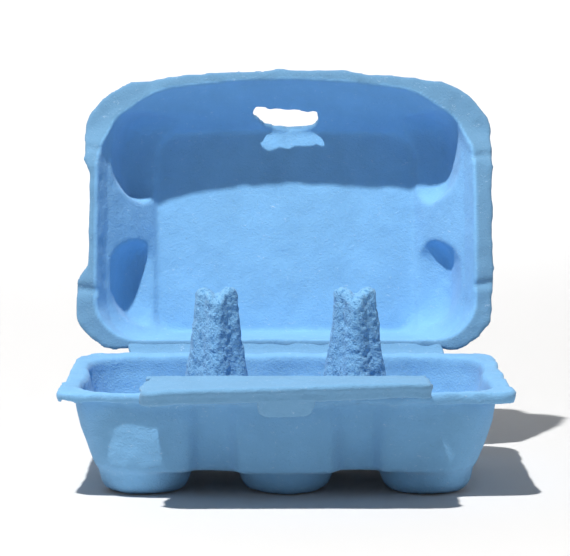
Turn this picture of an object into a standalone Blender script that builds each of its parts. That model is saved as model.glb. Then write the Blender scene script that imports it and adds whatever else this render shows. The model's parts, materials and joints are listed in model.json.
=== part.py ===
"""Moulded-pulp carton for six eggs: a tray of six cups, a hinged lid and a lock flap, standing open.

Metres, +Z up. X runs along the carton, -Y is its front, and the origin is under the middle of the
whole open carton, on the surface it stands on. The lid and the flap are drawn about their own hinge
axes, so turning either object about X moves it as the real pulp creases do.
"""

from math import cos, pi, radians, sin, sqrt

import bpy
from mathutils import Vector

MM = 0.001

# Driving sizes
WALL = 2.0 * MM                 # thickness of the moulded pulp
GAP = 0.3 * MM                  # clearance between pieces that touch
PITCH_X = 48.0 * MM             # cup to cup along the carton
PITCH_Y = 46.0 * MM             # front row to back row
RIM_Z = 36.0 * MM               # top of the tray's rim
DECK_Z = 8.6 * MM               # underside of the tray between its feet
LID_DEPTH = 35.0 * MM           # rim to top panel, over the outside
OPEN_ANGLE = radians(105.0)     # how far the lid stands open
TRAY_BOW = 6.0 * MM             # how far the front bulges forward in plan, middle against corners
LID_BOW = 8.6 * MM
PANEL_BOW = 1.0 * MM

# Tray
TRAY_HALF_X = 71.5 * MM
TRAY_FRONT = -49.0 * MM
TRAY_REAR = 47.5 * MM
TRAY_CORNER = 21.0 * MM
WALL_FLARE = 7.5 * MM           # the walls lean out by this much from deck to rim
FLUTE = 2.6 * MM                # how far the wall draws in between two cups
FOOT_RADIUS = 12.6 * MM
FOOT_ROUND = 2.6 * MM
CUP_RADIUS = 15.9 * MM          # outside of a foot where it meets the deck
RIM_REACH = 3.6 * MM            # rim flange beyond the wall
LIP_DROP = 3.2 * MM             # the flange's turned-down edge
LIP_WALL = 1.4 * MM
EAR_REACH = 2.2 * MM            # extra flange at the two front corners

# Posts between the cups
POST_TOP_Z = 64.5 * MM
POST_STAR = 0.2                 # how deeply the eggs' sides hollow the post
RIDGE_Z = 24.0 * MM             # ridges between the rows and between the columns of cups
RIDGE_BASE = 8.0 * MM
RIDGE_TOP = 2.0 * MM
RIDGE_LEAN = 6.6 * MM           # how far a ridge's ends lean out from the deck to its crest
GROOVE_BASE = 8.4 * MM          # hollow under each ridge
GROOVE_TOP = 0.6 * MM

# Raised front ledge, which the flap is creased onto
LEDGE_TOP = RIM_Z + 3.8 * MM
LEDGE_FRONT = -46.2 * MM
LEDGE_DEPTH = 2.2 * MM
LEDGE_PAD = 3.0 * MM            # the ledge is deeper between two eggs
LEDGE_HALF_X = 47.5 * MM
LEDGE_BELOW = 4.0 * MM          # how far down inside the wall the ledge is rooted

# Lid, drawn closed: heights are above the rim
LID_HALF_X = 72.0 * MM
LID_FRONT = -52.2 * MM
LID_REAR = 49.0 * MM
LID_STEP = 9.0 * MM             # upright part of the wall beside the rim
PANEL_HALF_X = 50.0 * MM
PANEL_FRONT = -37.0 * MM
PANEL_REAR = 42.0 * MM
LOBE = 8.0 * MM                 # bulge of the end walls around each egg
WEDGE_HALF = 11.0 * MM          # flat triangle between two lobes, half its width at the rim
LID_FLANGE_HALF_X = 75.6 * MM
LID_FLANGE_FRONT = -54.6 * MM
RELIEF_HALF_X = 50.5 * MM       # over the flap's crease, the front rim is raised
RELIEF_RAMP = 6.0 * MM
RELIEF_RISE = 6.0 * MM
RELIEF_BACK = -41.0 * MM
SLOT_HALF_X = 13.0 * MM
SLOT_HEIGHT = 10.5 * MM
SLOT_BELOW_TAB = 1.5 * MM       # the slot's middle lies this far below the tucked tab
SLOT_ARCH = 2.2 * MM            # the slot's ends sit lower than its middle

# Rear hinge
HINGE_Y = 52.0 * MM
HINGE_Z = RIM_Z + GAP / 2
HINGE_RADIUS = 1.0 * MM
HINGE_HALF_X = 57.0 * MM
FLANGE_REAR = 50.7 * MM

# Lock flap and its tab, drawn as they stand: the flap lies level, pointing forward
FLAP_Y = -45.6 * MM
FLAP_Z = RIM_Z + 4.9 * MM
FLAP_WALL = 1.8 * MM
FLAP_CREASE_RADIUS = 0.8 * MM
FLAP_START = 1.1 * MM
FLAP_REACH = 26.4 * MM
FLAP_HALF_X = 48.0 * MM
FLAP_CORNER = 7.0 * MM
FLAP_CREASE_HALF_X = 46.5 * MM
HEM_TILT = radians(34.0)        # the hem is turned under, past square
HEM_DROP = 4.6 * MM
HEM_END = 0.55                  # share of the hem's depth left at the flap's two ends
TAB_DROP = 6.6 * MM
TAB_TOP_HALF_X = 10.0 * MM
TAB_TIP_HALF_X = 8.2 * MM
FLAP_SHUT = HEM_TILT + pi / 2   # how far the flap turns to tuck in behind the lid

CUP_COLUMNS = (-PITCH_X, 0.0, PITCH_X)
CUP_ROWS = (-PITCH_Y / 2, PITCH_Y / 2)
POST_COLUMNS = (-PITCH_X / 2, PITCH_X / 2)

PULP_BLUE = (0.21, 0.49, 0.87)

# How many steps an outline takes along each side, and round each corner
FRONT_STEPS = 20
END_STEPS = 20
CORNER_STEPS = 5


def clear_scene():
    for obj in list(bpy.data.objects):
        bpy.data.objects.remove(obj, do_unlink=True)


def pulp(name, colour):
    """Dyed moulded pulp: matt all over."""
    material = bpy.data.materials.new(name)
    material.use_nodes = True
    shader = material.node_tree.nodes["Principled BSDF"]
    shader.inputs["Base Color"].default_value = (*colour, 1.0)
    shader.inputs["Roughness"].default_value = 0.95
    shader.inputs["Metallic"].default_value = 0.0
    return material


def make_object(name, points, faces, origin=(0.0, 0.0, 0.0)):
    """An object whose own origin is at origin, from points given in the carton's frame."""
    centre = Vector(origin)
    mesh = bpy.data.meshes.new(name)
    mesh.from_pydata([Vector(p) - centre for p in points], [], faces)
    mesh.validate()
    obj = bpy.data.objects.new(name, mesh)
    obj.location = centre
    bpy.context.scene.collection.objects.link(obj)
    return obj


def loft(name, rings, origin=(0.0, 0.0, 0.0)):
    """A closed solid through rings of equal length, each anticlockwise seen from above, lowest first."""
    count = len(rings[0])
    points = [p for ring in rings for p in ring]
    faces = [tuple(reversed(range(count)))]
    for level in range(len(rings) - 1):
        low, high = level * count, (level + 1) * count
        for i in range(count):
            j = (i + 1) % count
            faces.append((low + i, low + j, high + j, high + i))
    faces.append(tuple(range(len(points) - count, len(points))))
    return make_object(name, points, faces, origin)


def combine(obj, tool, operation):
    """Cuts tool from obj, or joins it to obj. The tool itself isn't part of the carton."""
    tool.hide_render = True
    tool.display_type = "WIRE"
    modifier = obj.modifiers.new(f"{operation.lower()}_{tool.name}", "BOOLEAN")
    modifier.operation = operation
    modifier.object = tool
    modifier.solver = "EXACT"


def line(start, end, steps):
    """Points from start, which is included, to end, which isn't."""
    return [
        (start[0] + (end[0] - start[0]) * i / steps, start[1] + (end[1] - start[1]) * i / steps)
        for i in range(steps)
    ]


def rounded_outline(half_x, front, rear, front_corner, rear_corner):
    """A rectangle with round corners, anticlockwise from the left end of its front side."""
    turns = (
        (half_x - front_corner, front + front_corner, front_corner, -90),
        (half_x - rear_corner, rear - rear_corner, rear_corner, 0),
        (-half_x + rear_corner, rear - rear_corner, rear_corner, 90),
        (-half_x + front_corner, front + front_corner, front_corner, 180),
    )
    sides = (FRONT_STEPS, END_STEPS, FRONT_STEPS, END_STEPS)
    points = []
    last = turns[-1]
    for steps, turn in zip(sides, turns, strict=True):
        x, y, radius, begin = turn
        entry = (x + radius * cos(radians(begin)), y + radius * sin(radians(begin)))
        leave = radians(last[3] + 90)
        start = (last[0] + last[2] * cos(leave), last[1] + last[2] * sin(leave))
        points += line(start, entry, steps)
        for i in range(CORNER_STEPS):
            angle = radians(begin + 90 * i / CORNER_STEPS)
            points.append((x + radius * cos(angle), y + radius * sin(angle)))
        last = turn
    return points


def bowed(points, half_x, front, bow):
    """The same outline with its front side bulging forward: its corners draw back by bow."""
    made = []
    for x, y in points:
        share = max(0.0, min(1.0, y / front))
        made.append((x, y + bow * share * (x / half_x) ** 2))
    return made


def at_height(points, z):
    return [(x, y, z) for x, y in points]


# The tray


def flute_depth(x, y, height_share):
    """How far the wall draws in where it passes between two cups."""
    if abs(y) > PITCH_Y * 0.9:
        between = 0.5 - 0.5 * cos(2 * pi * x / PITCH_X)
        return FLUTE * between * height_share * (1.0 if abs(x) < PITCH_X else 0.0)
    return FLUTE * max(0.0, cos(pi * y / PITCH_Y)) ** 2 * height_share


def tray_wall(z, inset):
    """One outline of the tray's wall at height z, drawn in by inset."""
    share = max(0.0, min(1.0, (z - DECK_Z) / (RIM_Z - DECK_Z)))
    lean = WALL_FLARE * (sin(pi * share / 2) - 1.0)
    half_x = TRAY_HALF_X + lean - inset
    front = TRAY_FRONT - lean + inset
    rear = TRAY_REAR + lean - inset
    corner = TRAY_CORNER + lean / 2 - inset / 2
    outline = bowed(rounded_outline(half_x, front, rear, corner, corner), half_x, front, TRAY_BOW)
    made = []
    for x, y in outline:
        depth = flute_depth(x, y, 1.0 - 0.6 * share)
        if abs(y) > PITCH_Y * 0.9:
            y -= depth * (1 if y > 0 else -1)
        else:
            x -= depth * (1 if x > 0 else -1)
        made.append((x, y, z))
    return made


def rim_outline(reach, z):
    """The rim flange's outline, with an ear at each front corner."""
    half_x = TRAY_HALF_X + reach
    front = TRAY_FRONT - reach
    rear = min(TRAY_REAR + reach, FLANGE_REAR)
    outline = bowed(rounded_outline(half_x, front, rear, 7.0 * MM, 13.0 * MM), half_x, front, TRAY_BOW)
    made = []
    for x, y in outline:
        share = max(0.0, min(1.0, (y / front - 0.35) / 0.65)) * max(0.0, abs(x) / half_x - 0.8) / 0.2
        made.append((x + EAR_REACH * share * (1 if x > 0 else -1), y, z))
    return made


def foot_outline(x, y, radius, z):
    steps = 20
    return [
        (x + radius * cos(2 * pi * i / steps), y + radius * sin(2 * pi * i / steps), z)
        for i in range(steps)
    ]


def post_radius(z):
    """The post's half-width along its four ribs, at height z."""
    share = (POST_TOP_Z - z) / (POST_TOP_Z - DECK_Z)
    return (7.0 + 11.0 * share**1.7) * MM


def post_outline(x, z, shrink):
    """A four-rib star: ribs to the front, back and both sides, hollows facing the four eggs."""
    steps = 24
    made = []
    for i in range(steps):
        angle = 2 * pi * i / steps
        radius = (post_radius(z) - shrink) * (1 - POST_STAR * (1 - cos(4 * angle)) / 2)
        made.append((x + radius * cos(angle), radius * sin(angle), z))
    return made


def post(name, x, low, top, shrink):
    levels = 6
    rings = [post_outline(x, low + (top - low) * (i / levels), shrink) for i in range(levels + 1)]
    crown = [(x + (px - x) * 0.82, py * 0.82, top + 0.9 * MM) for px, py, _ in rings[-1]]
    return loft(name, [*rings, crown])


def ridge(name, half_length, low, top, base, crest):
    """A ridge along X through the origin: its sides slope, and its ends lean out with the walls."""
    across = [(-base, low), (base, low), (crest, top), (-crest, top)]
    lean = (top - low) / (RIDGE_Z - DECK_Z) * RIDGE_LEAN
    points = []
    for side in (-1, 1):
        for y, z in across:
            points.append((side * (half_length + (lean if z == top else 0.0)), y, z))
    faces = [(0, 3, 2, 1), (4, 5, 6, 7)]
    for i in range(4):
        j = (i + 1) % 4
        faces.append((i, j, 4 + j, 4 + i))
    return make_object(name, points, faces)


def turned_across(obj, x):
    """Turns a ridge to run from front to back at this x."""
    obj.rotation_euler.z = pi / 2
    obj.location.x = x
    return obj


def wall_front(x):
    """Where the middle of the front wall's thickness lies at the rim."""
    return TRAY_FRONT + WALL / 2 + TRAY_BOW * (x / TRAY_HALF_X) ** 2


def ledge_outline(z, straight):
    """The raised front ledge at height z: rooted along the bowed wall, straight along the crease.

    Behind, it is hollowed where each egg stands and deeper between two eggs.
    """
    steps = 36
    front, back = [], []
    for i in range(steps + 1):
        x = -LEDGE_HALF_X + 2 * LEDGE_HALF_X * i / steps
        between = 0.5 - 0.5 * cos(2 * pi * x / PITCH_X)
        behind = max(LEDGE_FRONT, wall_front(x)) + LEDGE_DEPTH + LEDGE_PAD * between**3
        front.append((x, LEDGE_FRONT if straight else wall_front(x), z))
        back.append((x, behind, z))
    return front + back[::-1]


def make_tray():
    levels = 7
    heights = [DECK_Z + (RIM_Z - DECK_Z) * i / levels for i in range(levels + 1)]
    tray = loft("tray", [tray_wall(z, 0.0) for z in heights])

    flange_low = RIM_Z - WALL
    lip_low = RIM_Z - LIP_DROP
    flange = loft("tray_flange", [rim_outline(RIM_REACH, lip_low), rim_outline(RIM_REACH, RIM_Z)])
    under_lip = loft(
        "tray_under_lip",
        [rim_outline(RIM_REACH - LIP_WALL, lip_low - WALL), rim_outline(RIM_REACH - LIP_WALL, flange_low)],
    )
    combine(flange, under_lip, "DIFFERENCE")
    combine(tray, flange, "UNION")

    hollow_low = DECK_Z + WALL
    inner = [hollow_low + (RIM_Z + WALL - hollow_low) * i / levels for i in range(levels + 1)]
    combine(tray, loft("tray_hollow", [tray_wall(z, WALL) for z in inner]), "DIFFERENCE")

    reach = TRAY_HALF_X - WALL_FLARE - FLUTE - WALL / 2
    cross_reach = TRAY_REAR - WALL_FLARE - FLUTE - 0.6 * MM
    combine(tray, ridge("tray_ridge", reach, DECK_Z, RIDGE_Z, RIDGE_BASE, RIDGE_TOP), "UNION")
    for i, x in enumerate(POST_COLUMNS):
        cross = ridge(f"tray_cross_ridge_{i}", cross_reach, DECK_Z, RIDGE_Z, RIDGE_BASE, RIDGE_TOP)
        combine(tray, turned_across(cross, x), "UNION")
    for i, x in enumerate(POST_COLUMNS):
        combine(tray, post(f"tray_post_{i}", x, DECK_Z, POST_TOP_Z - 0.9 * MM, 0.0), "UNION")

    overlap = 0.4 * MM
    feet_top = DECK_Z + WALL - overlap
    for row, y in enumerate(CUP_ROWS):
        for column, x in enumerate(CUP_COLUMNS):
            name = f"tray_foot_{row}_{column}"
            outer = (
                (FOOT_RADIUS, 0.0),
                (FOOT_RADIUS + 0.75 * FOOT_ROUND, 0.28 * FOOT_ROUND),
                (FOOT_RADIUS + FOOT_ROUND, FOOT_ROUND),
                (CUP_RADIUS, feet_top),
            )
            combine(tray, loft(name, [foot_outline(x, y, r, z) for r, z in outer]), "UNION")
            recess = (
                (FOOT_RADIUS - 0.8 * MM, WALL),
                (FOOT_RADIUS + FOOT_ROUND - WALL, WALL + FOOT_ROUND / 2),
                (CUP_RADIUS - WALL, DECK_Z),
                (CUP_RADIUS - WALL / 2, DECK_Z + 2 * WALL),
            )
            combine(tray, loft(name + "_recess", [foot_outline(x, y, r, z) for r, z in recess]), "DIFFERENCE")

    groove = (-WALL, RIDGE_Z - WALL - GAP, GROOVE_BASE, GROOVE_TOP)
    end = 3 * WALL
    combine(tray, ridge("tray_groove", reach - end, *groove), "DIFFERENCE")
    for i, x in enumerate(POST_COLUMNS):
        cross = ridge(f"tray_cross_groove_{i}", cross_reach - end, *groove)
        combine(tray, turned_across(cross, x), "DIFFERENCE")
    for i, x in enumerate(POST_COLUMNS):
        hollow = post(f"tray_post_hollow_{i}", x, DECK_Z - WALL, POST_TOP_Z - 2 * WALL, WALL)
        combine(tray, hollow, "DIFFERENCE")

    rooted = [ledge_outline(RIM_Z - LEDGE_BELOW, False), ledge_outline(RIM_Z - GAP, False)]
    combine(tray, loft("tray_ledge", [*rooted, ledge_outline(LEDGE_TOP, True)]), "UNION")
    return tray


# The lid, drawn closed over the tray and then turned open


def lid_wall(height, inset):
    """One outline of the lid's wall at this height above the rim, drawn in by inset."""
    share = max(0.0, min(1.0, (height - LID_STEP) / (LID_DEPTH - LID_STEP)))
    half_x = LID_HALF_X + (PANEL_HALF_X - LID_HALF_X) * share - inset
    front = LID_FRONT + (PANEL_FRONT - LID_FRONT) * share + inset
    rear = LID_REAR + (PANEL_REAR - LID_REAR) * share - inset
    front_corner = (23.0 - 13.0 * share) * MM
    rear_corner = (15.0 - 5.0 * share) * MM
    bow = LID_BOW + (PANEL_BOW - LID_BOW) * share
    outline = bowed(rounded_outline(half_x, front, rear, front_corner, rear_corner), half_x, front, bow)
    bulge = LOBE * max(0.0, sin(pi * share)) ** 0.8
    wedge = WEDGE_HALF * (1.0 - share)
    made = []
    for x, y in outline:
        side_end = (rear - rear_corner) if y > 0 else -(front + front_corner)
        along = (abs(y) - wedge) / (side_end + 6.0 * MM - wedge)
        if abs(x) > half_x - front_corner and 0.0 < along < 1.0:
            x += bulge * sin(pi * along) ** 0.8 * (1 if x > 0 else -1)
        made.append((x, y, RIM_Z + height))
    return made


def lid_flange(height):
    outline = rounded_outline(LID_FLANGE_HALF_X, LID_FLANGE_FRONT, FLANGE_REAR, 13.0 * MM, 12.0 * MM)
    return at_height(bowed(outline, LID_FLANGE_HALF_X, LID_FLANGE_FRONT, LID_BOW), RIM_Z + height)


def relieved(ring):
    """The same ring, raised along the front where the flap's crease passes under it."""
    made = []
    for x, y, z in ring:
        inward = max(0.0, min(1.0, (RELIEF_HALF_X + RELIEF_RAMP - abs(x)) / RELIEF_RAMP))
        ramp = inward * inward * (3 - 2 * inward)
        made.append((x, y, z + (RELIEF_RISE * ramp if y < PANEL_FRONT else 0.0)))
    return made


def slot_cutter():
    """The arched slot in the lid's front wall, as a prism that runs straight through it."""
    centre_z = FLAP_Z + FLAP_REACH * sin(FLAP_SHUT) - SLOT_BELOW_TAB
    steps = 12
    upper, lower = [], []
    for i in range(steps + 1):
        share = 2 * i / steps - 1
        x = SLOT_HALF_X * share
        middle = centre_z + SLOT_ARCH * (0.6 - share**2)
        half = SLOT_HEIGHT / 2 * sqrt(1 - 0.8 * share**4)
        upper.append((x, middle + half))
        lower.append((x, middle - half))
    ring = lower + upper[::-1]
    front = [(x, LID_FRONT - 5.0 * MM, z) for x, z in ring]
    back = [(x, LID_FRONT + 24.0 * MM, z) for x, z in ring]
    count = len(ring)
    faces = [tuple(range(count)), tuple(reversed(range(count, 2 * count)))]
    for i in range(count):
        j = (i + 1) % count
        faces.append((j, i, count + i, count + j))
    return make_object("lid_slot", front + back, faces, (0.0, HINGE_Y, HINGE_Z))


def relief_cutter():
    """Clears the space below the raised part of the front rim."""
    low, high = RIM_Z - WALL, RIM_Z + GAP + RELIEF_RISE
    steps = 6
    profile = [(-RELIEF_HALF_X - RELIEF_RAMP, low), (RELIEF_HALF_X + RELIEF_RAMP, low)]
    for side in (1, -1):
        for i in range(steps + 1):
            inward = i / steps if side > 0 else 1.0 - i / steps
            x = side * (RELIEF_HALF_X + RELIEF_RAMP * (1.0 - inward))
            profile.append((x, RIM_Z + GAP + (high - RIM_Z - GAP) * inward * inward * (3 - 2 * inward)))
    front = [(x, LID_FLANGE_FRONT - WALL, z) for x, z in profile]
    back = [(x, RELIEF_BACK, z) for x, z in profile]
    count = len(profile)
    faces = [tuple(range(count)), tuple(reversed(range(count, 2 * count)))]
    for i in range(count):
        j = (i + 1) % count
        faces.append((j, i, count + i, count + j))
    return make_object("lid_relief", front + back, faces, (0.0, HINGE_Y, HINGE_Z))


def make_lid():
    hinge = (0.0, HINGE_Y, HINGE_Z)
    levels = 8
    slope = [LID_STEP + (LID_DEPTH - 1.2 * MM - LID_STEP) * i / levels for i in range(levels + 1)]
    outer = [lid_flange(GAP), relieved(lid_flange(GAP + WALL)), relieved(lid_wall(GAP + WALL, 0.0))]
    outer += [lid_wall(height, 0.0) for height in slope]
    outer.append(lid_wall(LID_DEPTH, 1.2 * MM))
    lid = loft("lid", outer, hinge)

    inset = 1.15 * WALL
    inner_slope = [LID_STEP + (LID_DEPTH - WALL - LID_STEP) * i / levels for i in range(levels + 1)]
    inner = [lid_wall(-WALL, inset)] + [lid_wall(height, inset) for height in inner_slope]
    cutters = (loft("lid_hollow", inner, hinge), relief_cutter(), slot_cutter())
    for cutter in cutters:
        combine(lid, cutter, "DIFFERENCE")
        cutter.rotation_euler.x = -OPEN_ANGLE
    lid.rotation_euler.x = -OPEN_ANGLE
    return lid


# Creases, flap and tab


def crease_bead(name, half_x, y, z, radius):
    """The rounded pulp bead of a crease, along its hinge axis."""
    steps = 16
    ends = []
    for x in (-half_x, half_x):
        ends.append(
            [
                (x, y + radius * cos(2 * pi * i / steps), z + radius * sin(2 * pi * i / steps))
                for i in range(steps)
            ]
        )
    return loft(name, ends, (0.0, y, z))


def hem_point(along, side):
    """A point of the hem's section, in Y and Z from the flap's axis.

    along runs from the fold at the flap's outer edge down the hem, and side is across its thickness.
    """
    y = -FLAP_REACH + along * sin(HEM_TILT) + side * cos(HEM_TILT)
    z = -along * cos(HEM_TILT) + side * sin(HEM_TILT)
    return y, z


def flap_section(hem_share):
    """The flap's section in Y and Z from its axis, with this share of the hem's full depth."""
    half = FLAP_WALL / 2
    fold_y, fold_z = hem_point(0.0, -half)
    return [
        (-FLAP_START, -half),
        (-FLAP_START, half),
        (-FLAP_REACH + 0.4 * MM, half),
        (fold_y - 0.3 * MM, fold_z + 0.5 * MM),
        hem_point(HEM_DROP * hem_share, -half),
        hem_point(HEM_DROP * hem_share, half),
        (-FLAP_REACH + half * (1 + sin(HEM_TILT)) / cos(HEM_TILT), -half),
    ]


def make_flap():
    steps = 40
    rings = []
    for i in range(steps + 1):
        x = -FLAP_HALF_X + 2 * FLAP_HALF_X * i / steps
        into_corner = max(0.0, abs(x) - (FLAP_HALF_X - FLAP_CORNER)) / FLAP_CORNER
        draw_in = FLAP_CORNER * (1 - sqrt(max(0.0, 1 - into_corner**2 * 0.98)))
        ring = []
        for y, z in flap_section(1.0 - (1.0 - HEM_END) * into_corner**2):
            outward = max(0.0, -y - FLAP_START) / (FLAP_REACH - FLAP_START)
            ring.append((x, FLAP_Y + y + draw_in * min(1.0, outward), FLAP_Z + z))
        rings.append(ring)
    return loft("lock_flap", rings, (0.0, FLAP_Y, FLAP_Z))


def make_tab():
    """The tongue below the middle of the hem, which catches in the lid's slot."""
    half = FLAP_WALL / 2
    start = HEM_DROP + GAP
    rings = []
    levels = 3
    for i in range(levels + 1):
        along = start + TAB_DROP * i / levels
        half_x = TAB_TOP_HALF_X + (TAB_TIP_HALF_X - TAB_TOP_HALF_X) * i / levels
        if i == levels:
            half_x -= 1.4 * MM
        front_y, front_z = hem_point(along, -half)
        back_y, back_z = hem_point(along, half)
        rings.append(
            [
                (-half_x, FLAP_Y + front_y, FLAP_Z + front_z),
                (half_x, FLAP_Y + front_y, FLAP_Z + front_z),
                (half_x, FLAP_Y + back_y, FLAP_Z + back_z),
                (-half_x, FLAP_Y + back_y, FLAP_Z + back_z),
            ]
        )
    root_y, root_z = hem_point(start, 0.0)
    return loft("lock_tab", rings[::-1], (0.0, FLAP_Y + root_y, FLAP_Z + root_z))


def bounds_of(objects):
    """The lowest and highest corner of these objects as they stand."""
    bpy.context.view_layer.update()
    graph = bpy.context.evaluated_depsgraph_get()
    corners = []
    for obj in objects:
        shown = obj.evaluated_get(graph)
        corners += [shown.matrix_world @ v.co for v in shown.data.vertices]
    low = Vector([min(c[k] for c in corners) for k in range(3)])
    high = Vector([max(c[k] for c in corners) for k in range(3)])
    return low, high


def main():
    clear_scene()
    pieces = [
        make_tray(),
        make_lid(),
        make_flap(),
        make_tab(),
        crease_bead("rear_hinge_web", HINGE_HALF_X, HINGE_Y, HINGE_Z, HINGE_RADIUS),
        crease_bead("flap_hinge_web", FLAP_CREASE_HALF_X, FLAP_Y, FLAP_Z, FLAP_CREASE_RADIUS),
    ]
    for piece in pieces:
        piece.data.materials.append(pulp(f"{piece.name}_pulp", PULP_BLUE))

    # The whole carton moves together, so that the origin comes under its middle
    low, high = bounds_of(pieces)
    base = bpy.data.objects.new("carton", None)
    bpy.context.scene.collection.objects.link(base)
    for obj in list(bpy.data.objects):
        if obj is not base:
            obj.parent = base
    base.location = (-(low.x + high.x) / 2, -(low.y + high.y) / 2, 0.0)


main()
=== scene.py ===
"""The looks of the moulded-pulp egg carton.

Each piece of pulp is described as a field: how far a point lies outside the pulp, in millimetres,
negative inside it. The field is meshed on a fine grid. The fields use the plan that the mould was
cut to: x along the carton, y from its front (negative) to its back, z up, and the lid shut. The
finished meshes are moved to the frame's place, and the lid is turned open about its crease.
"""

import json
from math import cos, radians, sin

import bpy
import numpy as np
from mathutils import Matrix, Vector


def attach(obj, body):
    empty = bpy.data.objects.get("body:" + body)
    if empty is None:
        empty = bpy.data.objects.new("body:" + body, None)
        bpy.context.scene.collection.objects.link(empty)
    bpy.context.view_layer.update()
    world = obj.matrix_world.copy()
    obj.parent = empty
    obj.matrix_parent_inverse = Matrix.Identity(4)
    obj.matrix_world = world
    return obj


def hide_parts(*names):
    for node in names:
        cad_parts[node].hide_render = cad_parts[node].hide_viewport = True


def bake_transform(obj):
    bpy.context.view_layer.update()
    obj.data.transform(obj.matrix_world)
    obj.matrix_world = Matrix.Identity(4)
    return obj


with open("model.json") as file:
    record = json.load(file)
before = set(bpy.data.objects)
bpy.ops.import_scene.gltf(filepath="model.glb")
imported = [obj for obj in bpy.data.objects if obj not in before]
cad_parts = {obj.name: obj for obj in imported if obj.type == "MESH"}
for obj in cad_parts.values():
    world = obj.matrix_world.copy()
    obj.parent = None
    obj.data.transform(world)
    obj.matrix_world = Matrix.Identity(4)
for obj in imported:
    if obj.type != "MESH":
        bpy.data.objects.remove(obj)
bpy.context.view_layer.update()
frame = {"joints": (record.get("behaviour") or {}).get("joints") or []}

MM = 0.001
COARSE = 1.0

# Places taken from the frame
JOINTS = {joint["name"]: joint for joint in frame["joints"]}
HINGE = [v / MM for v in JOINTS["lid_hinge"]["pos_m"]]
FLAP_AXIS = [v / MM for v in JOINTS["flap_hinge"]["pos_m"]]
OPEN_ANGLE = radians(-JOINTS["lid_hinge"]["range_deg"][0])
HINGE_Y = 52.0                          # the rear crease in the mould's plan
SHIFT_Y = HINGE[1] - HINGE_Y            # from the mould's plan to the frame
FLAP_Y = FLAP_AXIS[1] - SHIFT_Y
FLAP_Z = FLAP_AXIS[2]
CREASE_LIFT = 0.15                      # the rear crease lies this far above the tray's rim
RIM_Z = HINGE[2] - CREASE_LIFT
REAR_CREASE = (HINGE_Y, RIM_Z + CREASE_LIFT)

# Sizes of the moulding, in millimetres
SHEET = 2.0
PITCH_X, PITCH_Y = 48.0, 46.0
DECK_Z = 8.6
TRAY_HALF_X, TRAY_FRONT, TRAY_REAR, TRAY_CORNER, TRAY_BOW = 71.5, -49.0, 47.5, 21.0, 6.0
WALL_FLARE, FLUTE = 7.5, 5.2
RIM_REACH, LIP_DROP, LIP_SHEET, EAR_REACH = 3.6, 3.6, 1.5, 2.2
FLANGE_REAR = 50.7
POST_TOP_Z = 66.2
POST_SEAM = 26.0                        # the posts are meshed on their own from about here up
RIDGE_Z = 24.0
LEDGE_TOP, LEDGE_FRONT, LEDGE_HALF_X = RIM_Z + 3.8, -46.2, 47.5
LID_PANEL, LID_STEP = 33.0, 9.0         # heights above the rim, inside the lid
LID_BOW = 8.6
SLOT_MIDDLE_X, SLOT_HALF_X, SLOT_HALF_HEIGHT = 0.2, 12.2, 4.3
FLAP_REACH, FLAP_HALF_X, FLAP_SHEET = 26.4, 48.0, 1.8
HEM_TILT, HEM_DROP = radians(34.0), 4.6
TAB_DROP, TAB_HALF_X, TAB_HALF_SHEET = 6.6, 9.9, 0.74
REAR_CREASE_HALF_X, FLAP_CREASE_HALF_X = 57.0, 46.5

# Lumps of pulp on each piece, as (size, height, seed)
TRAY_LUMPS = ((9.0, 0.22, 1), (3.4, 0.16, 2), (1.9, 0.12, 3))
POST_LUMPS = (1.3, 0.36, 4)
LID_LUMPS = ((11.0, 0.2, 5), (4.0, 0.13, 6), (2.0, 0.09, 7))
FLAP_LUMPS = ((7.0, 0.25, 8), (3.0, 0.15, 9), (1.6, 0.1, 10))
TAB_LUMPS = ((4.0, 0.15, 13), (1.7, 0.1, 14))
REAR_CREASE_LUMPS = ((2.4, 0.12, 15),)
FLAP_CREASE_LUMPS = ((2.4, 0.1, 16),)
SKIN = 1.6                              # lumps are worked out this close to a surface

# Grid steps, in millimetres
TRAY_NET, POST_NET, LID_NET, FLAP_NET, THIN_NET = 0.97, 0.5, 0.8, 0.55, 0.4


# Shaping fields


def smooth_min(a, b, reach):
    """The lower of two fields, with the corner between them rounded over this reach."""
    share = np.clip(0.5 + 0.5 * (b - a) / reach, 0.0, 1.0)
    return b + (a - b) * share - reach * share * (1.0 - share)


def smooth_max(a, b, reach):
    return -smooth_min(-a, -b, reach)


def ramp(value, start, end):
    """0 at start, 1 at end, smooth between."""
    share = np.clip((value - start) / (end - start), 0.0, 1.0)
    return share * share * (3.0 - 2.0 * share)


def blend_to(start, end, share):
    return start + (end - start) * share


def rounded_rect(x, y, half_x, front, rear, front_corner, rear_corner, bow):
    """Distance outside a plan outline with round corners, whose front side bulges forward."""
    y = y - bow * np.clip(y / front, 0.0, 1.0) * (x / half_x) ** 2
    corner = np.where(y > (front + rear) / 2, rear_corner, front_corner)
    beyond_x = np.abs(x) - half_x + corner
    beyond_y = np.abs(y - (front + rear) / 2) - (rear - front) / 2 + corner
    outside = np.hypot(np.maximum(beyond_x, 0.0), np.maximum(beyond_y, 0.0))
    return outside + np.minimum(np.maximum(beyond_x, beyond_y), 0.0) - corner


def segment_distance(u, v, start, end):
    """Distance from the line between two points of a section."""
    run_u, run_v = end[0] - start[0], end[1] - start[1]
    share = ((u - start[0]) * run_u + (v - start[1]) * run_v) / (run_u**2 + run_v**2)
    share = np.clip(share, 0.0, 1.0)
    return np.hypot(u - start[0] - share * run_u, v - start[1] - share * run_v)


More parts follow.
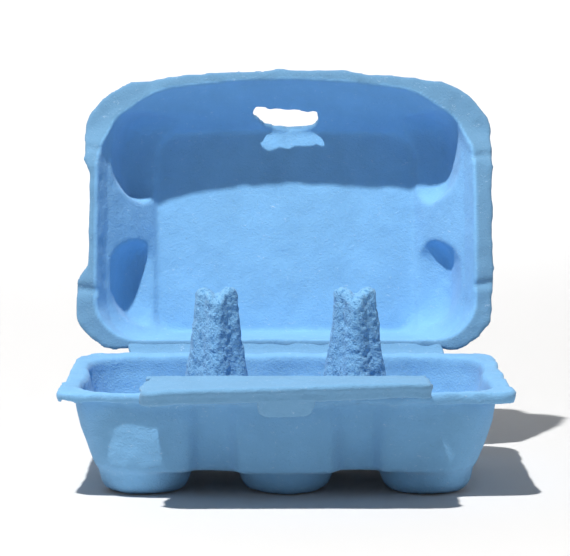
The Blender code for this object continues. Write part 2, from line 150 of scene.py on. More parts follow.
def value_noise(x, y, z, size, seed):
    """Smooth lumps of this size in millimetres, between -1 and 1."""
    count = 32
    lattice = np.random.default_rng(seed).uniform(-1.0, 1.0, (count,) * 3).astype(np.float32)
    cells, shares = [], []
    for axis in (x, y, z):
        scaled = np.asarray(axis, np.float32) / size + 1000.0
        cell = np.floor(scaled).astype(np.int32)
        share = scaled - cell
        cells.append(cell % count)
        shares.append(share * share * (3.0 - 2.0 * share))
    total = np.zeros(shares[0].shape, np.float32)
    for corner in range(8):
        steps = (corner & 1, corner >> 1 & 1, corner >> 2)
        weight = np.ones_like(total)
        for share, step in zip(shares, steps):
            weight = weight * (share if step else 1.0 - share)
        index = tuple((cell + step) % count for cell, step in zip(cells, steps))
        total += weight * lattice[index]
    return total


def evened(field, x):
    """Holds a field's rise to one millimetre per millimetre, so that a sheet is nowhere too thin."""
    step = float(x[1, 0, 0] - x[0, 0, 0])
    slope = np.sqrt(sum(rise**2 for rise in np.gradient(field, step)))
    return field / np.maximum(slope, 1.0)


def roughened(field, x, y, z, layers):
    """Adds pulp lumps to a field close to its surface: layers are (size, height, seed)."""
    near = np.abs(field) < SKIN
    spots = (x[near], y[near], z[near])
    for size, height, seed in layers:
        field[near] += height * value_noise(*spots, size, seed)
    return field


# Meshing


def grid(low, high, step):
    axes = [np.arange(a, b + step, step, dtype=np.float32) for a, b in zip(low, high)]
    return np.meshgrid(*axes, indexing="ij")


def net_surface(field, low, step):
    """Quads around the places where the field is below zero, one vertex in each crossed cell."""
    shape = np.array(field.shape)
    cells = shape - 1
    sums = np.zeros((int(np.prod(cells)), 3))
    hits = np.zeros(len(sums))
    faces = []
    for axis in range(3):
        others = [a for a in range(3) if a != axis]
        near = np.take(field, range(shape[axis] - 1), axis)
        far = np.take(field, range(1, shape[axis]), axis)
        crossed = np.argwhere((near < 0) != (far < 0))
        keep = np.all((crossed[:, others] > 0) & (crossed[:, others] < cells[others]), axis=1)
        crossed = crossed[keep]
        a, b = near[tuple(crossed.T)], far[tuple(crossed.T)]
        place = crossed.astype(float)
        place[:, axis] += a / (a - b)
        ring = []
        for back in ((1, 1), (0, 1), (0, 0), (1, 0)):
            cell = crossed.copy()
            cell[:, others[0]] -= back[0]
            cell[:, others[1]] -= back[1]
            flat = np.ravel_multi_index(cell.T, cells)
            np.add.at(sums, flat, place)
            np.add.at(hits, flat, 1)
            ring.append(flat)
        quad = np.stack(ring, 1)
        flip = (a > 0) != (axis == 1)
        quad[flip] = quad[flip][:, ::-1]
        faces.append(quad)
    used = np.flatnonzero(hits)
    number = np.full(len(hits), -1)
    number[used] = np.arange(len(used))
    points = np.array(low) + sums[used] / hits[used, None] * step
    return points, number[np.concatenate(faces)]


def without_crumbs(points, quads):
    """Keeps only the largest connected net."""
    label = np.arange(len(points))
    settled = False
    while not settled:
        lower = label.copy()
        np.minimum.at(lower, quads.ravel(), np.repeat(label[quads].min(axis=1), 4))
        lower = lower[lower]
        settled = np.array_equal(lower, label)
        label = lower
    largest = np.bincount(label).argmax()
    kept = np.flatnonzero(label == largest)
    number = np.full(len(points), -1)
    number[kept] = np.arange(len(kept))
    return points[kept], number[quads[label[quads[:, 0]] == largest]]


def relaxed(points, quads):
    """Evens the net out by moving each vertex halfway towards its neighbours' middle."""
    total = np.zeros_like(points)
    count = np.zeros(len(points))
    for i in range(4):
        a, b = quads[:, i], quads[:, (i + 1) % 4]
        for here, there in ((a, b), (b, a)):
            for k in range(3):
                total[:, k] += np.bincount(here, points[there, k], len(points))
            count += np.bincount(here, minlength=len(points))
    return points + 0.5 * (total / count[:, None] - points)


def placed(points, turn):
    """Points from the mould's plan in the frame's metres, turned about the rear crease."""
    y, z = points[:, 1] - REAR_CREASE[0], points[:, 2] - REAR_CREASE[1]
    turned_y = REAR_CREASE[0] + y * cos(turn) - z * sin(turn)
    turned_z = REAR_CREASE[1] + y * sin(turn) + z * cos(turn)
    return np.stack([points[:, 0], turned_y + SHIFT_Y, turned_z], 1) * MM


def even_marks(x, y, z):
    """Nearly smooth and more than half darkened and greyed all over, as the flap, the tab and the
    creases are.
    """
    return 0.12 + 0.0 * x, 0.6 + 0.0 * x


def make_piece(name, function, low, high, step, marks=even_marks, turn=0.0):
    """Meshes a field as an object. marks gives each vertex its shares of roughness and of darkening."""
    step *= COARSE
    x, y, z = grid(low, high, step)
    points, quads = net_surface(function(x, y, z), low, step)
    points, quads = without_crumbs(points, quads)
    points = relaxed(points, quads)
    mesh = bpy.data.meshes.new(name)
    mesh.from_pydata(placed(points, turn).tolist(), [], quads.tolist())
    mesh.validate()
    mesh.shade_smooth()
    for key, values in zip(("rough", "darkened"), marks(*points.T)):
        attribute = mesh.attributes.new(key, "FLOAT", "POINT")
        attribute.data.foreach_set("value", np.asarray(values, np.float32))
    obj = bpy.data.objects.new(name, mesh)
    bpy.context.scene.collection.objects.link(obj)
    return obj


# The tray


def post_field(x, y, z):
    """Four-ribbed posts between the cups, each ending in two humps with a dip between them."""
    top_radius, foot_spread, rib_depth = 7.2, 11.0, 0.12
    dip_depth, dip_half, end_droop = 2.4, 2.2, 0.035
    across = np.abs(x) - PITCH_X / 2
    radius = np.hypot(across, y)
    angle = np.arctan2(y, across)
    share = np.clip((POST_TOP_Z - z) / (POST_TOP_Z - DECK_Z), 0.0, 1.0)
    ribs = 1.0 - rib_depth * (1.0 - np.cos(4.0 * angle))
    half = (top_radius + foot_spread * share**1.7) * ribs
    crown = z - POST_TOP_Z + dip_depth * np.exp(-((across / dip_half) ** 2)) + end_droop * y**2
    return smooth_max((radius - half) * 0.95, crown * 0.85, 3.0)


def from_cup_middle(x):
    """How far a point lies along the carton from the middle of the nearest cup."""
    return x - PITCH_X * np.round(np.clip(x / PITCH_X, -1.0, 1.0))


def tray_walls(x, y, z):
    """Distance outside the walls' inner face: fluted between the cups, wider towards the rim."""
    flute_fade, front_lean, corner_cut = 0.78, 0.15, 4.5
    share = np.clip((z - DECK_Z) / (RIM_Z - DECK_Z), 0.0, 1.0)
    lean = WALL_FLARE * (np.sin(np.pi * share / 2.0) - 1.0)
    depth = FLUTE * (1.0 - flute_fade * share)
    recess = ramp(np.abs(np.abs(x) - PITCH_X / 2), 10.5, 4.5)
    bulge = 0.25 * np.where(np.abs(x) < PITCH_X, (from_cup_middle(x) / 20.0) ** 2, 0.0)
    flute_y = depth * (recess + bulge) * ramp(np.abs(y), 30.0, 40.0)
    between_rows = np.clip(np.cos(np.pi * y / PITCH_Y), 0.0, 1.0) ** 2
    flute_x = depth * between_rows * ramp(np.abs(x), 52.0, 62.0)
    half_x = TRAY_HALF_X - SHEET + lean
    front, rear = TRAY_FRONT + SHEET - front_lean * lean, TRAY_REAR - SHEET + lean
    corner = TRAY_CORNER - 1.0 + lean / 2.0
    return rounded_rect(x + np.sign(x) * flute_x, y + np.sign(y) * flute_y,
                        half_x, front, rear, corner - corner_cut, corner, TRAY_BOW)


def cups_air(x, y, z):
    """Distance outside the six cups. The front ones' feet stand a little further forward."""
    floor_radius, foot_flare, bowl_flare, bowl_rise = 11.3, 3.7, 7.6, 7.0
    foot_slope, bowl_slope, feet_forward = 0.43, 0.65, 2.0
    cup_x = from_cup_middle(x)
    cup_y = np.abs(y) - PITCH_Y / 2 - np.where(y < 0.0, feet_forward, 0.0) * ramp(z, 18.0, 6.0)
    above_deck = np.maximum(z - DECK_Z, 0.0)
    foot = foot_flare * np.clip(z / DECK_Z, 0.0, 1.0)
    radius = floor_radius + foot + bowl_flare * (1.0 - np.exp(-above_deck / bowl_rise))
    above_foot = ramp(z, DECK_Z - 0.8, DECK_Z + 0.8)
    slope = foot_slope + bowl_slope * above_foot * np.exp(-above_deck / bowl_rise)
    cup = (np.hypot(cup_x, cup_y) - radius) / np.sqrt(1.0 + slope**2)
    return smooth_max(cup, SHEET - z, 3.6)


def tray_air(x, y, z):
    """Distance outside the air above the moulded sheet: positive in the sheet and under it."""
    gutter_floor, gutter_start, gutter_slope = 10.6, 10.4, 0.8
    ridge_sag = 0.004
    walls = tray_walls(x, y, z)
    gutter = (-walls - 1.2 - gutter_slope * (z - gutter_start)) * 0.78
    gutter = np.maximum(gutter, gutter_floor - z)
    ridges = RIDGE_Z - z + ridge_sag * from_cup_middle(x) ** 2
    hollow = smooth_min(cups_air(x, y, z), ridges, 5.0)
    hollow = smooth_min(hollow, gutter, 2.4)
    hollow = smooth_max(hollow, walls, 2.0)
    air = smooth_min(hollow, RIM_Z - z, 2.4)
    return evened(smooth_max(air, -post_field(x, y, z), 5.0), x)


def rim_outline(x, y):
    """Distance outside the rim's trimmed edge, with an ear at each front corner."""
    front_reach, front_corner, rear_corner = 0.55 * RIM_REACH, 6.0, 13.0
    half_x, front = TRAY_HALF_X + RIM_REACH, TRAY_FRONT - front_reach
    ear = EAR_REACH * np.clip((y / front - 0.3) / 0.7, 0.0, 1.0) * ramp(np.abs(x), 55.0, 74.0)
    x = x - np.sign(x) * ear
    return rounded_rect(x, y, half_x, front, FLANGE_REAR, front_corner, rear_corner, TRAY_BOW)


def ledge_field(x, y, z):
    """The raised front ledge that the flap is creased onto, deeper between two eggs."""
    depth, extra_depth = 2.2, 3.2
    wall_front = TRAY_FRONT + SHEET / 2 + TRAY_BOW * (x / TRAY_HALF_X) ** 2
    rise = ramp(z, RIM_Z - 1.0, LEDGE_TOP)
    front = blend_to(wall_front, np.maximum(LEDGE_FRONT, wall_front - 0.6), rise)
    between = (0.5 - 0.5 * np.cos(2.0 * np.pi * x / PITCH_X)) ** 3
    back = np.maximum(LEDGE_FRONT, wall_front) + depth + extra_depth * between
    upright = np.maximum(front - y, y - back)
    ends = np.maximum(np.abs(x) - LEDGE_HALF_X, np.maximum(z - LEDGE_TOP, RIM_Z - 3.0 - z))
    return smooth_max(upright, ends, 1.2)


def tray_sheet(x, y, z):
    """The tray's sheet with its rim, the rim's turned-down lip and the ledge, still without lumps."""
    air = tray_air(x, y, z)
    outline = rim_outline(x, y) + 0.35 * value_noise(x, y, z * 0.3, 6.0, 11)
    under = smooth_max(-air, air - SHEET, 0.3)
    top = smooth_max(under, outline, 1.4)
    lip_low = RIM_Z - LIP_DROP + 0.65 * value_noise(x, y, z * 0.0, 5.0, 12)
    lip_low += 0.45 * value_noise(x, y, z * 0.0, 2.0, 17)
    lip = smooth_max(np.maximum(-air, outline), np.maximum(-outline - LIP_SHEET, lip_low - z), 1.0)
    sheet = smooth_min(top, lip, 1.2)
    return smooth_min(sheet, ledge_field(x, y, z), 1.8)


def near_post(x, y):
    """1 close to the middle of a post, 0 away from it."""
    return ramp(np.hypot(np.abs(x) - PITCH_X / 2, y), 22.0, 19.0)


def tray_field(x, y, z):
    """The whole tray but for its posts, which are meshed more finely and swallow its edge."""
    thinner, overlap = 0.3, 4.0
    field = tray_sheet(x, y, z)
    field += thinner * ramp(z, POST_SEAM - 1.0, POST_SEAM + 3.0) * near_post(x, y)
    field = np.where(near_post(x, y) > 0.5, np.maximum(field, z - POST_SEAM - overlap), field)
    field = roughened(field, x, y, z, TRAY_LUMPS)
    return np.maximum(field, 0.02 - z)


def post_crown(x, y, z):
    """One side's post: above the seam it is the visible surface, below it hides in the tray."""
    thinner, overlap, cut_radius = 0.4, 4.0, 18.0
    field = tray_sheet(x, y, z)
    field += thinner * ramp(z, POST_SEAM + 1.0, POST_SEAM - 3.0)
    field = np.maximum(field, POST_SEAM - overlap - z)
    field = np.maximum(field, np.hypot(np.abs(x) - PITCH_X / 2, y) - cut_radius)
    field = roughened(field, x, y, z, TRAY_LUMPS)
    high = ramp(z, POST_SEAM, POST_SEAM + 9.0)
    near = np.abs(field) < SKIN
    size, height, seed = POST_LUMPS
    field[near] += high[near] * height * value_noise(x[near], y[near], z[near], size, seed)
    return field


def tray_marks(x, y, z):
    """The posts are the roughest, the cups' insides less so. The outside is a little darker and greyer.
    """
    inside = ramp(rim_outline(x, y), -4.0, -9.0)
    high_post = ramp(z, POST_SEAM - 6.0, POST_SEAM + 12.0) * near_post(x, y)
    return 0.25 + 0.15 * inside + 0.6 * high_post, 0.12 - 0.12 * inside


def make_tray():
    tray = make_piece("pulp_tray", tray_field, (-79, -56, -1.5), (79, 53.5, 43), TRAY_NET, tray_marks)
    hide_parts("tray")
    crowns = []
    for name, side in (("left", -1), ("right", 1)):
        middle = side * PITCH_X / 2
        low, high = (middle - 19, -19, POST_SEAM - 5.5), (middle + 19, 19, POST_TOP_Z + 2)
        crowns.append(make_piece(f"pulp_post_{name}", post_crown, low, high, POST_NET, tray_marks))
    return [tray, *crowns]


# The lid, shut


def flange_height(x, y):
    """Underside of the lid's flange above the rim: raised in front, dented at four buckles."""
    gap, front_rise, corner_rise, dent_rise = 0.8, 5.8, 6.5, 1.3
    raised = ramp(np.abs(x), 70.0, 49.5) * ramp(y, -33.0, -43.0)
    corner = ramp(np.abs(x) / 72.0 - y / 54.0, 1.2, 1.6)
    height = gap + np.maximum(front_rise * raised, corner_rise * corner * ramp(y, -14.0, -34.0))
    for side, places in ((-1, (-24.0, 29.0)), (1, (-21.0, 27.0))):
        for place in places:
            dent = np.exp(-(((y - place + 0.15 * (np.abs(x) - 70.0)) / 1.5) ** 2))
            height = height + dent_rise * dent * ramp(side * x, 63.0, 68.0)
    return height


def lid_pockets(x, y, h, share):
    """Distance outside the four egg pockets that reach out into the end walls."""
    power, pocket_x, pocket_top = 2.8, 48.0, 31.2
    across = np.abs(np.abs(x) - pocket_x)
    along = np.abs(np.abs(y) - PITCH_Y / 2) * blend_to(0.98, 0.8, np.clip(share, 0, 1))
    radius = 18.6 - 0.18 * h
    pocket = (across**power + along**power) ** (1.0 / power) - radius
    return smooth_max(pocket, h - pocket_top, 8.0)


def lid_hollow(x, y, h):
    """Distance outside the lid's hollow, h above the rim."""
    low = np.clip(h / LID_STEP, 0.0, 1.0)
    share = np.clip((h - LID_STEP) / (LID_PANEL - LID_STEP), 0.0, 1.2)
    half_x = blend_to(69.4 - 3.6 * low, 48.0, share)
    front = blend_to(-52.2 + 2.4 * low, -36.0, share)
    rear = blend_to(46.9 - 0.4 * low, 40.2, share)
    bow = blend_to(LID_BOW, 1.0, share)
    front_corner = np.maximum(blend_to(28.0 - 4.0 * low, 9.0, share), 4.0)
    rear_corner = np.maximum(blend_to(15.0, 8.0, share), 4.0)
    box = rounded_rect(x, y, half_x, front, rear, front_corner, rear_corner, bow) * 0.84
    sides = rounded_rect(x, y, 200.0, front, rear, 1.0, 1.0, bow * 8.2) * 0.88
    pocket = lid_pockets(x, y, h, share)
    hollow = smooth_min(box, smooth_max(pocket, sides, 1.6), 0.9)
    return smooth_max(hollow, h - LID_PANEL, 1.3)


def lid_outline(x, y):
    """Distance outside the flange's trimmed edge, narrower along the middle of the left side."""
    widest, front, front_corner, rear_corner = 75.6, -54.6, 20.0, 12.0
    left = 74.4 - 2.2 * ramp(y, -21.0, -13.0)
    left = left + 4.2 * ramp(y, 19.0, 26.0) - 2.4 * ramp(y, 38.0, 48.0)
    right = 75.8 - 1.0 * ramp(y, 22.0, 36.0) - 2.0 * ramp(y, 38.0, 50.0)
    half_x = np.where(x < 0.0, left, right)
    x = x + np.sign(x) * (widest - half_x)
    return rounded_rect(x, y, widest, front, FLANGE_REAR, front_corner, rear_corner, LID_BOW)


def slot_field(x, h):
    """The torn-edged slot: a bent oval whose ends curl towards the rim."""
    height, tilt, curl = 27.9, 0.1, 0.017
    from_middle = np.abs(x - SLOT_MIDDLE_X)
    middle = height + tilt * x - curl * x**2
    half = SLOT_HALF_HEIGHT * np.sqrt(np.clip(1.0 - 0.75 * (from_middle / 12.4) ** 4, 0.05, 1.0))
    ragged = 0.7 * value_noise(x, h, 0.0 * x, 2.6, 21) + 0.5 * value_noise(x, h, 0.0 * x, 1.4, 22)
    return smooth_max(np.abs(h - middle) - half, from_middle - SLOT_HALF_X, 3.0) + ragged


def lid_field(x, y, z):
    """The whole lid. The slot goes through its front wall only."""
    behind_front_wall = -28.0
    h = z - RIM_Z
    rim_wear = 0.35 * value_noise(x, y, h * 0.3, 4.2, 24)
    air = evened(smooth_min(lid_hollow(x, y, h), h - flange_height(x, y) + rim_wear, 0.8), x)
    outline = lid_outline(x, y) + 0.45 * value_noise(x, y, h * 0.3, 7.0, 25)
    outline += 0.3 * value_noise(x, y, h * 0.3, 2.4, 26)
    sheet = smooth_max(smooth_max(-air, air - SHEET, 0.3), outline, 1.2)
    slot = np.maximum(slot_field(x, h), y - behind_front_wall)
    sheet = smooth_max(sheet, -slot, 1.0)
    return roughened(sheet, x, y, z, LID_LUMPS)


def lid_marks(x, y, z):
    """The hollow is the smoothest and keeps its full colour. The outside and the flange are darker and
    greyer.
    """
    h = z - RIM_Z
    beyond_hollow = ramp(lid_hollow(x, y, h), 0.4, 1.2)
    outside = ramp(np.minimum(lid_hollow(x, y, h), h - flange_height(x, y)), 0.9, 1.4)
    return 0.08 + 0.25 * beyond_hollow + 0.2 * outside, beyond_hollow


def make_lid():
    low, high = (-79, -58, RIM_Z - 2), (79, 53.5, RIM_Z + LID_PANEL + 4.5)
    lid = make_piece("pulp_lid", lid_field, low, high, LID_NET, lid_marks, -OPEN_ANGLE)
    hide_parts("lid")
    return lid


# The flap, its tab and the creases


def flap_coordinates(x, y, z):
    """Position from the flap's crease. The flap is twisted: its right end stands a little higher."""
    twist, end_droop = 0.031, 1.0
    out = np.maximum(FLAP_Y - y, 0.0)
    lift = twist * x * np.clip(out / FLAP_REACH, 0.0, 1.0)
    droop = end_droop * ramp(np.abs(x), 38.0, 50.0) * np.clip(out / FLAP_REACH, 0.0, 1.0)
    return FLAP_Y - y, z - FLAP_Z - lift + droop


def hem_end(along):
    """The point of the flap's section this far down the hem: forward of the crease, and up."""
    return FLAP_REACH - along * sin(HEM_TILT), -along * cos(HEM_TILT)


def flap_field(x, y, z):
    """The flap and its turned-down hem, with round front corners. It is narrower at the crease."""
    corner_start, corner_depth, fold = 9.0, 6.0, FLAP_REACH - 0.9
    narrower_left, narrower_right = 3.4, 1.2
    out, up = flap_coordinates(x, y, z)
    into_corner = np.clip((np.abs(x) - FLAP_HALF_X + corner_start) / corner_start, 0.0, 1.0)
    shorten = corner_depth * (1.0 - np.sqrt(np.clip(1.0 - 0.98 * into_corner**2, 0.0, 1.0)))
    out = out + shorten * ramp(out, 4.0, FLAP_REACH)
    top = segment_distance(out, up, (1.6, 0.0), (fold, 0.0))
    hem = segment_distance(out, up, (fold, 0.0), hem_end(HEM_DROP - 0.6))
    section = smooth_min(top, hem, 1.4) - FLAP_SHEET / 2
    near_crease = ramp(out, 13.0, 1.0)
    half = FLAP_HALF_X - np.where(x < 0.0, narrower_left, narrower_right) * near_crease
    ends = np.abs(x) - half + 0.6 * value_noise(x * 0.3, y, z, 4.0, 31)
    field = smooth_max(section, ends, 1.4)
    return roughened(field, x, y, z, FLAP_LUMPS)


def tab_field(x, y, z):
    """The tongue: it starts inside the hem's lower edge and runs on below it."""
    inside_hem, taper, tip_rounding = 1.0, 1.3, 1.6
    out, up = flap_coordinates(x, y, z)
    begin, finish = hem_end(HEM_DROP - inside_hem), hem_end(HEM_DROP + TAB_DROP - 0.3)
    section = segment_distance(out, up, begin, finish) - TAB_HALF_SHEET
    along = -up / cos(HEM_TILT) - HEM_DROP
    half = TAB_HALF_X - taper * np.clip(along / TAB_DROP, 0.0, 1.0)
    half = half - tip_rounding * ramp(along, TAB_DROP - 1.6, TAB_DROP + 1.2)
    sides = np.abs(x) - half + 0.3 * value_noise(x, y, z, 2.5, 32)
    field = smooth_max(section, sides, 1.2)
    return roughened(field, x, y, z, TAB_LUMPS)


def rear_crease(x, y, z):
    """A thin bent strip through the lid's hinge line, drawn with the lid open."""
    back, up = y - HINGE_Y, z - RIM_Z - CREASE_LIFT
    tray_side = segment_distance(back, up, (-2.6, -1.1), (0.0, 0.0))
    lid_side = segment_distance(back, up, (0.0, 0.0), (2.0, 2.4))
    half_sheet = 0.72 + 0.12 * value_noise(x, y, z, 5.0, 33)
    field = smooth_min(tray_side, lid_side, 0.6) - half_sheet
    ends = np.abs(x) - REAR_CREASE_HALF_X + 0.8 * value_noise(x, y, z, 3.0, 34)
    field = smooth_max(field, ends, 0.8)
    return roughened(field, x, y, z, REAR_CREASE_LUMPS)


def flap_crease(x, y, z):
    """A thin bent strip from the tray's ledge to the flap."""
    out, up = FLAP_Y - y, z - FLAP_Z
    ledge_side = segment_distance(out, up, (-0.4, -2.4), (0.0, 0.0))
    flap_side = segment_distance(out, up, (0.0, 0.0), (2.2, 0.0))
    half_sheet = 0.7 + 0.1 * value_noise(x, y, z, 5.0, 35)
    field = smooth_min(ledge_side, flap_side, 0.6) - half_sheet
    ends = np.abs(x) - FLAP_CREASE_HALF_X + 0.6 * value_noise(x, y, z, 3.0, 36)
    field = smooth_max(field, ends, 0.8)
    return roughened(field, x, y, z, FLAP_CREASE_LUMPS)


def make_flap():
    front = FLAP_Y - FLAP_REACH - 2.5
    low, high = (-50, front, FLAP_Z - 7.5), (50, FLAP_Y + 1, FLAP_Z + 4)
    flap = make_piece("pulp_flap", flap_field, low, high, FLAP_NET)
    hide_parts("lock_flap")
    low, high = (-12, front, FLAP_Z - 13), (12, FLAP_Y - FLAP_REACH + 10, FLAP_Z)
    tab = make_piece("pulp_tab", tab_field, low, high, THIN_NET)
    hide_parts("lock_tab")
    return flap, tab


def make_creases():
    y, z = REAR_CREASE
    low, high = (-59, y - 4.5, z - 3.5), (59, y + 4.5, z + 4.5)
    rear = make_piece("pulp_rear_crease", rear_crease, low, high, THIN_NET)
    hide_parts("rear_hinge_web")
    low, high = (-49, FLAP_Y - 4, FLAP_Z - 4), (49, FLAP_Y + 3, FLAP_Z + 2.5)
    front = make_piece("pulp_flap_crease", flap_crease, low, high, THIN_NET)
    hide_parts("flap_hinge_web")
    return rear, front


# Material

DYE = (0.195, 0.45, 0.75)


def tinted(shares, paper=0.0):
    """The dye with these shares of its red, green and blue, and with bare paper added."""
    return (*[share * colour + paper for share, colour in zip(shares, DYE)], 1.0)


PALE, DEEP = tinted((1.05, 1.05, 1.05)), tinted((0.93, 0.93, 0.93))
# A darker, greyer dye, mixed in as far as each vertex says.
DARKENED = tinted((0.68, 0.66, 0.65))
FLECK, DARK_FLECK = tinted((0.55, 0.55, 0.55), 0.45), tinted((0.45, 0.45, 0.45))
# Painted shade: the darker, greyer colour put into the hollows of rough pulp.
PIT_SHADE = tinted((0.4, 0.55, 0.68))

# Scales of the patterns: about this many features in a metre
CLOUD_SCALE, GRAIN_SCALE, LUMP_SCALE, FUZZ_SCALE = 70.0, 900.0, 1500.0, 2600.0
FIBRE_SCALE, DARK_FIBRE_SCALE, WEAVE_SCALE = 650.0, 560.0, 330.0
BUMP_STRENGTH, BUMP_DEPTH = 0.85, 0.00045


def feed(tree, socket, value):
    """Sets an input to a value, or links it if the value is another node's output."""
    if isinstance(value, bpy.types.NodeSocket):
        tree.links.new(value, socket)
    else:
        socket.default_value = value


def add_node(tree, kind, settings=None, **inputs):
    """Adds a node. Inputs are values, or sockets to link from."""
    node = tree.nodes.new(kind)
    for key, value in (settings or {}).items():
        setattr(node, key, value)
    for key, value in inputs.items():
        feed(tree, node.inputs[key.replace("_", " ")], value)
    return node


def noise(tree, place, scale, detail, distortion=0.0):
    node = add_node(tree, "ShaderNodeTexNoise", Vector=place, Scale=scale, Detail=detail,
                    Roughness=0.6, Distortion=distortion)
    return node.outputs["Fac"]


def fibres(tree, place, stretch, scale, curl):
    """Noise drawn out along one direction, so that its ridges look like threads."""
    stretched = add_node(tree, "ShaderNodeMapping", Vector=place, Scale=stretch).outputs[0]
    return noise(tree, stretched, scale, 2.0, curl)


def mapped(tree, value, low, high, to_low, to_high):
    node = add_node(tree, "ShaderNodeMapRange", Value=value)
    for key, number in (("From Min", low), ("From Max", high), ("To Min", to_low), ("To Max", to_high)):
        node.inputs[key].default_value = number
    return node.outputs["Result"]


def arithmetic(tree, operation, a, b):
    node = add_node(tree, "ShaderNodeMath", {"operation": operation})
    feed(tree, node.inputs[0], a)
    feed(tree, node.inputs[1], b)
    return node.outputs[0]


def mixed(tree, factor, a, b):
    """Mixes two colours. The numbered inputs are the factor and the two colours."""
    node = add_node(tree, "ShaderNodeMix", {"data_type": "RGBA"})
    for number, value in ((0, factor), (6, a), (7, b)):
        feed(tree, node.inputs[number], value)
    return node.outputs[2]


def pulp_colour(tree, place, grain, fibre, rough, darkened):
    """Mottled dye with pale and dark fibres, and with painted shade in the grain's hollows where the
    pulp is rough.
    """
    cloud = noise(tree, place, CLOUD_SCALE, 4.0)
    dark_fibre = fibres(tree, place, (0.6, 1.7, 0.9), DARK_FIBRE_SCALE, 1.8)
    colour = mixed(tree, mapped(tree, cloud, 0.3, 0.7, 0.0, 1.0), DEEP, PALE)
    # Darker and greyer as far as each vertex says.
    colour = mixed(tree, darkened, colour, DARKENED)
    colour = mixed(tree, mapped(tree, fibre, 0.64, 0.76, 0.0, 0.4), colour, FLECK)
    colour = mixed(tree, mapped(tree, dark_fibre, 0.67, 0.8, 0.0, 0.4), colour, DARK_FLECK)
    # Painted shade: darker and greyer where the grain is low, on rough pulp.
    pit_shade_weight = mapped(tree, rough, 0.45, 1.0, 0.0, 1.0)
    pit_shade = arithmetic(tree, "MULTIPLY", mapped(tree, grain, 0.49, 0.38, 0.0, 0.85), pit_shade_weight)
    return mixed(tree, pit_shade, colour, PIT_SHADE)


def woven_marks(tree, place):
    """The print of the mould's wire mesh: two sets of wavy lines that cross."""
    weave = []
    for direction in ((1.0, 0.25, 0.9), (-0.8, 0.35, 1.1)):
        turned = add_node(tree, "ShaderNodeMapping", Vector=place, Rotation=direction).outputs[0]
        wave = add_node(tree, "ShaderNodeTexWave", Vector=turned, Scale=WEAVE_SCALE,
                        Distortion=6.0, Detail=2.0, Detail_Scale=1.5)
        weave.append(wave.outputs["Fac"])
    return arithmetic(tree, "MULTIPLY", *weave)


def pulp_height(tree, place, grain, fibre, rough):
    """Grain, fuzz and fibres, with the mesh marks and lumps strongest where the pulp is rough."""
    fuzz = noise(tree, place, FUZZ_SCALE, 2.0)
    mesh_marks = arithmetic(tree, "MULTIPLY", woven_marks(tree, place), rough)
    lumps = arithmetic(tree, "MULTIPLY", noise(tree, place, LUMP_SCALE, 2.0, 0.3), rough)
    height = arithmetic(tree, "MULTIPLY", grain, 0.55)
    for part, share in ((fuzz, 0.16), (fibre, 0.3), (mesh_marks, 0.2), (lumps, 0.9)):
        height = arithmetic(tree, "ADD", height, arithmetic(tree, "MULTIPLY", part, share))
    return height


def pulp_material(name):
    """Dyed, felted pulp. Each vertex of a piece says how rough and how darkened it is there."""
    material = bpy.data.materials.new(name)
    material.use_nodes = True
    tree = material.node_tree
    shader = tree.nodes["Principled BSDF"]
    place = add_node(tree, "ShaderNodeTexCoord").outputs["Object"]
    rough = add_node(tree, "ShaderNodeAttribute", {"attribute_name": "rough"}).outputs["Fac"]
    darkened = add_node(tree, "ShaderNodeAttribute", {"attribute_name": "darkened"}).outputs["Fac"]
    grain = noise(tree, place, GRAIN_SCALE, 3.0, 0.4)
    fibre = fibres(tree, place, (1.0, 0.6, 1.7), FIBRE_SCALE, 1.6)

    colour = pulp_colour(tree, place, grain, fibre, rough, darkened)
    height = pulp_height(tree, place, grain, fibre, rough)
    bump = add_node(tree, "ShaderNodeBump", Strength=BUMP_STRENGTH, Distance=BUMP_DEPTH, Height=height)
    tree.links.new(colour, shader.inputs["Base Color"])
    tree.links.new(bump.outputs["Normal"], shader.inputs["Normal"])
    tree.links.new(mapped(tree, grain, 0.3, 0.7, 0.88, 1.0), shader.inputs["Roughness"])
    shader.inputs["Specular IOR Level"].default_value = 0.22
    shader.inputs["Sheen Weight"].default_value = 0.12
    shader.inputs["Sheen Roughness"].default_value = 0.6
    return material


# Stage, light and camera, in metres and degrees

FLOOR_FLAT, FLOOR_SWEEP, FLOOR_HEIGHT = 1.6, 0.9, 2.6
FLOOR_AROUND, FLOOR_LEVELS = 48, 12
FLOOR_COLOUR, FLOOR_ROUGHNESS = (0.68, 0.68, 0.685), 0.9
FLOOR_BELOW = -0.0002                   # keeps the floor just clear of the carton's feet

KEY_AIM, KEY_DIRECTION, KEY_DISTANCE = (0.0, 0.0, 0.06), (0.205, 0.308, -0.93), 1.5
KEY_SIZE, KEY_POWER, KEY_COLOUR = 0.05, 32.0, (1.0, 0.985, 0.96)
BACKDROP_PLACE, BACKDROP_AIM = (0.0, 1.1, 1.5), (0.0, 2.4, 0.5)
BACKDROP_SIZE, BACKDROP_POWER, BACKDROP_COLOUR = 1.2, 32.0, (1.0, 1.0, 1.0)
SKY_COLOUR, SKY_STRENGTH = (0.86, 0.92, 1.0, 1.0), 0.07

CAMERA_PLACE, CAMERA_DOWNWARD = (-0.00025, -1.109, 0.194), 6.52
SENSOR_WIDTH, LENS = 36.0, 200.5        # in millimetres


def plain_material(name, colour, roughness):
    material = bpy.data.materials.new(name)
    material.use_nodes = True
    shader = material.node_tree.nodes["Principled BSDF"]
    shader.inputs["Base Color"].default_value = (*colour, 1.0)
    shader.inputs["Roughness"].default_value = roughness
    return material


def floor_profile():
    """The floor's section from its middle outwards, as (radius, height)."""
    profile = [(0.0, 0.0), (FLOOR_FLAT, 0.0)]
    for i in range(1, FLOOR_LEVELS + 1):
        angle = radians(90.0 * i / FLOOR_LEVELS)
        profile.append((FLOOR_FLAT + FLOOR_SWEEP * sin(angle), FLOOR_SWEEP * (1 - cos(angle))))
    profile.append((FLOOR_FLAT + FLOOR_SWEEP, FLOOR_HEIGHT))
    return profile


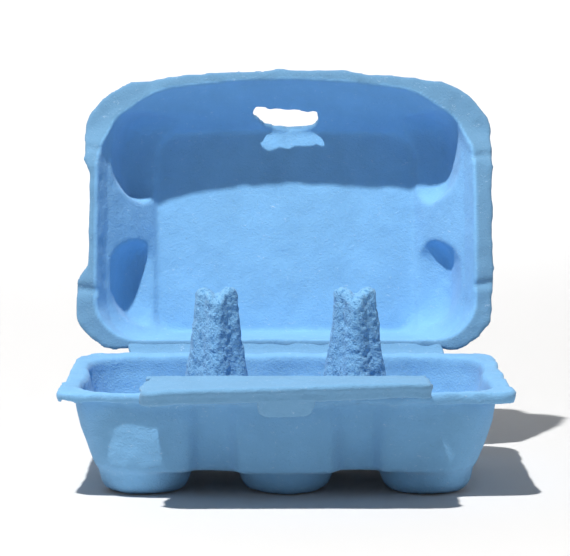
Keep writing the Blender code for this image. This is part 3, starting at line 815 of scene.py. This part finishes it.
def floor_mesh():
    """The section turned all round, closed by triangles in the middle."""
    rings = floor_profile()[1:]
    points = [(0.0, 0.0, 0.0)]
    for radius, rise in rings:
        for i in range(FLOOR_AROUND):
            turn = radians(360.0 * i / FLOOR_AROUND)
            points.append((radius * cos(turn), radius * sin(turn), rise))
    faces = [(0, 1 + i, 1 + (i + 1) % FLOOR_AROUND) for i in range(FLOOR_AROUND)]
    for level in range(len(rings) - 1):
        low, high = 1 + level * FLOOR_AROUND, 1 + (level + 1) * FLOOR_AROUND
        for i in range(FLOOR_AROUND):
            j = (i + 1) % FLOOR_AROUND
            faces.append((low + i, high + i, high + j, low + j))
    mesh = bpy.data.meshes.new("floor")
    mesh.from_pydata(points, [], faces)
    mesh.shade_smooth()
    return mesh


def make_floor():
    """A pale floor that sweeps up all round, well clear of the carton."""
    mesh = floor_mesh()
    floor = bpy.data.objects.new("floor", mesh)
    floor.location.z = FLOOR_BELOW
    bpy.context.scene.collection.objects.link(floor)
    mesh.materials.append(plain_material("pale_floor", FLOOR_COLOUR, FLOOR_ROUGHNESS))


def add_softbox(name, place, target, size, power, colour):
    light = bpy.data.lights.new(name, "AREA")
    light.shape = "DISK"
    light.size = size
    light.energy = power
    light.color = colour
    obj = bpy.data.objects.new(name, light)
    obj.location = place
    aim = Vector(target) - Vector(place)
    obj.rotation_euler = aim.to_track_quat("-Z", "Y").to_euler()
    bpy.context.scene.collection.objects.link(obj)


def light_scene():
    """A key light from above, in front and a little to the left, and a light on the backdrop."""
    towards = Vector(KEY_DIRECTION).normalized()
    place = Vector(KEY_AIM) - KEY_DISTANCE * towards
    add_softbox("key", place, KEY_AIM, KEY_SIZE, KEY_POWER, KEY_COLOUR)
    add_softbox("backdrop", BACKDROP_PLACE, BACKDROP_AIM, BACKDROP_SIZE, BACKDROP_POWER, BACKDROP_COLOUR)
    world = bpy.data.worlds.new("studio")
    world.use_nodes = True
    background = world.node_tree.nodes["Background"]
    background.inputs["Color"].default_value = SKY_COLOUR
    background.inputs["Strength"].default_value = SKY_STRENGTH
    bpy.context.scene.world = world


def make_camera():
    camera = bpy.data.cameras.new("camera")
    camera.sensor_width = SENSOR_WIDTH
    camera.lens = LENS
    camera.clip_start = 0.05
    obj = bpy.data.objects.new("camera", camera)
    obj.location = CAMERA_PLACE
    obj.rotation_euler = (radians(90.0 - CAMERA_DOWNWARD), 0.0, 0.0)
    bpy.context.scene.collection.objects.link(obj)
    bpy.context.scene.camera = obj


def blend_creases(rear, front):
    """Bakes each crease's placement into its mesh. The creases are not attached to any body."""
    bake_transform(rear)
    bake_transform(front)


def main():
    make_camera()
    bpy.context.scene.view_settings.view_transform = "Standard"
    tray_pieces = make_tray()
    lid = make_lid()
    flap, tab = make_flap()
    rear, front = make_creases()
    slots = {"pulp_tray": tray_pieces, "pulp_lid": [lid], "pulp_flap": [flap], "pulp_tab": [tab],
             "pulp_crease": [rear, front]}
    for slot, pieces in slots.items():
        material = pulp_material(slot)
        for piece in pieces:
            piece.data.materials.append(material)
    for piece in tray_pieces:
        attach(piece, "tray")
    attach(lid, "lid")
    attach(flap, "flap")
    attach(tab, "tab")
    blend_creases(rear, front)
    make_floor()
    light_scene()


main()
